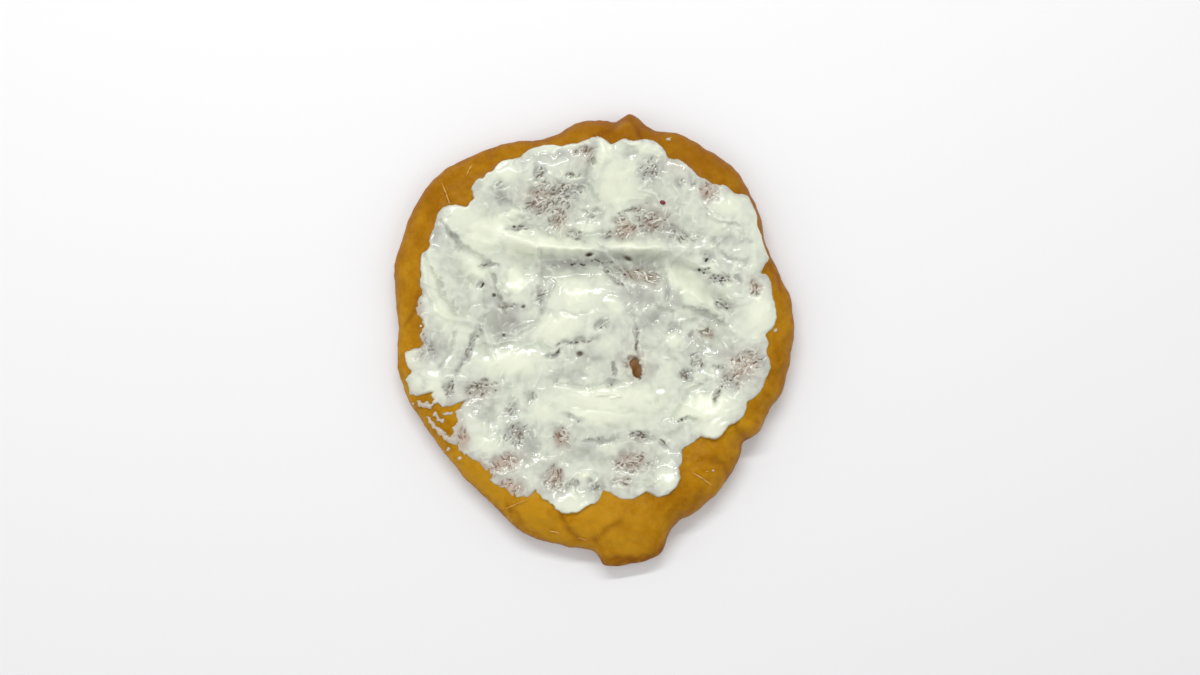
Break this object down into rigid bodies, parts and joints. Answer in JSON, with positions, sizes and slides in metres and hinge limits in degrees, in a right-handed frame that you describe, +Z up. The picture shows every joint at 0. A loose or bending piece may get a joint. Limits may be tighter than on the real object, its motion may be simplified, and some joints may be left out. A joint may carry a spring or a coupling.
{
  "type": "langos",
  "caption": "Round deep-fried flatbread with a puffy, uneven amber rim and a torn tab, spread with soured cream in lobes over fine shreds of cheese.",
  "frame": {"origin": "on the surface that the bread lies on, under the middle of its box", "axes": "+Z up; seen from above +X is to the right and +Y away from the viewer, with the torn tab towards -Y"},
  "size_m": [0.2052, 0.2309, 0.0248],
  "materials": {
    "fried_crust": "oily amber crust, browner at its edge, lumps and creases",
    "soured_cream": "wet and glossy, pale cream where thick, greyer where it is scraped thin over the shreds"
  },
  "bodies": {
    "root": {"dough": "fried_crust", "soured_cream": "soured_cream"}
  },
  "joints": []
}
